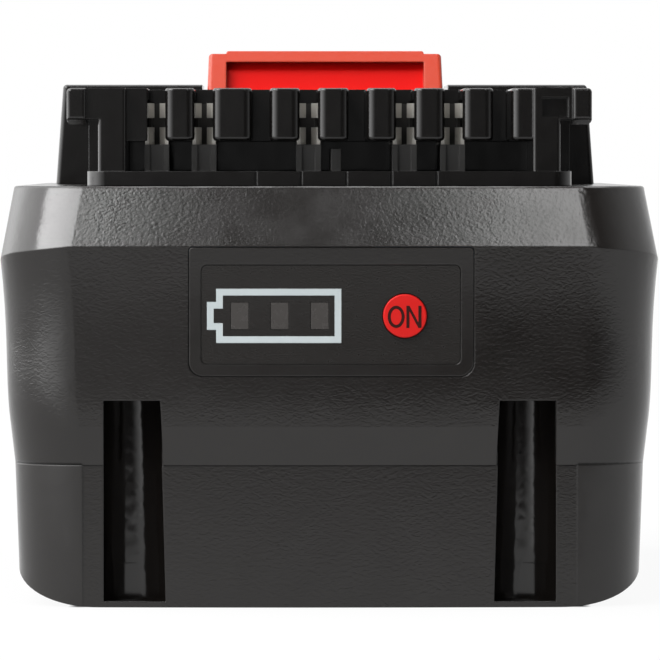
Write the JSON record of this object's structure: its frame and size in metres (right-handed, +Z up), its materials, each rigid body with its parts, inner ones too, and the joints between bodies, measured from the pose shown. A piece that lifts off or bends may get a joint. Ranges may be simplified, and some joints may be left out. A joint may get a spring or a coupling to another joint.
{
  "type": "power tool battery pack",
  "caption": "Slide-on battery pack for a cordless tool, with rails, slotted terminals, a red release latch and a charge gauge with a test button.",
  "frame": {"origin": "middle of the bounding box on the surface that the pack stands on", "axes": "+Z up, +Y from the terminals and the gauge towards the release latch, +X to the right seen from the gauge side"},
  "size_m": [0.076, 0.117, 0.065],
  "materials": {
    "black_plastic": "fine leather-like grain with a slight sheen",
    "gloss_black": "smooth polished mould finish",
    "label_film": "thin satin printed film",
    "smoke_window": "smoked clear plastic",
    "red_plastic": "fine satin mould finish",
    "dark_plastic": "plain moulded",
    "lamp_resin": "clear resin",
    "white_plastic": "plain moulded",
    "board": "solder resist",
    "steel": "bright drawn steel",
    "contact_metal": "tin plated copper alloy",
    "nickel": "plain nickel strip",
    "cell_sleeve": "shrunk plastic sleeve",
    "holder_plastic": "plain moulded",
    "insulator_paper": "pressed insulating paper",
    "foam": "closed cell foam"
  },
  "bodies": {
    "pack": {"lower_shell": "black_plastic", "upper_shell": "black_plastic", "rail_block": "gloss_black", "gauge_panel": "gloss_black", "gauge_label": "label_film", "light_guide": "smoke_window", "terminal_holder": "dark_plastic", "gauge_switch": "dark_plastic", "board_header": "dark_plastic", "power_switches": "dark_plastic", "board_parts": "dark_plastic", "thermistor": "dark_plastic", "gauge_lamps": "lamp_resin", "gauge_board": "board", "main_board": "board", "latch_spring_left": "steel", "latch_spring_right": "steel", "casing_screws": "steel", "rail_screws": "steel", "board_screws": "steel", "terminal_positive": "contact_metal", "terminal_identity": "contact_metal", "terminal_thermistor": "contact_metal", "terminal_data": "contact_metal", "terminal_negative": "contact_metal", "bus_bar_left_1": "nickel", "bus_bar_left_2": "nickel", "bus_bar_left_3": "nickel", "bus_bar_right_1": "nickel", "bus_bar_right_2": "nickel", "bus_bar_right_3": "nickel", "cell_1": "cell_sleeve", "cell_2": "cell_sleeve", "cell_3": "cell_sleeve", "cell_4": "cell_sleeve", "cell_5": "cell_sleeve", "cell_6": "cell_sleeve", "cell_7": "cell_sleeve", "cell_8": "cell_sleeve", "cell_9": "cell_sleeve", "cell_10": "cell_sleeve", "cell_holder_left": "holder_plastic", "cell_holder_right": "holder_plastic", "end_insulator_left": "insulator_paper", "end_insulator_right": "insulator_paper", "foam_pad_left": "foam", "foam_pad_right": "foam"},
    "latch": {"release_latch": "red_plastic"},
    "button": {"gauge_button": "red_plastic", "switch_plunger": "white_plastic"}
  },
  "joints": [
    {"name": "latch_press", "type": "slide", "parent": "pack", "child": "latch", "axis": [0, 0, -1], "range_m": [0, 0.0045], "stiffness_N_per_m": 900, "springref_m": -0.002, "deforming": ["latch_spring_left", "latch_spring_right"]},
    {"name": "button_press", "type": "slide", "parent": "pack", "child": "button", "axis": [0, 1, 0], "range_m": [0, 0.0003], "stiffness_N_per_m": 3000, "springref_m": -0.0001}
  ]
}
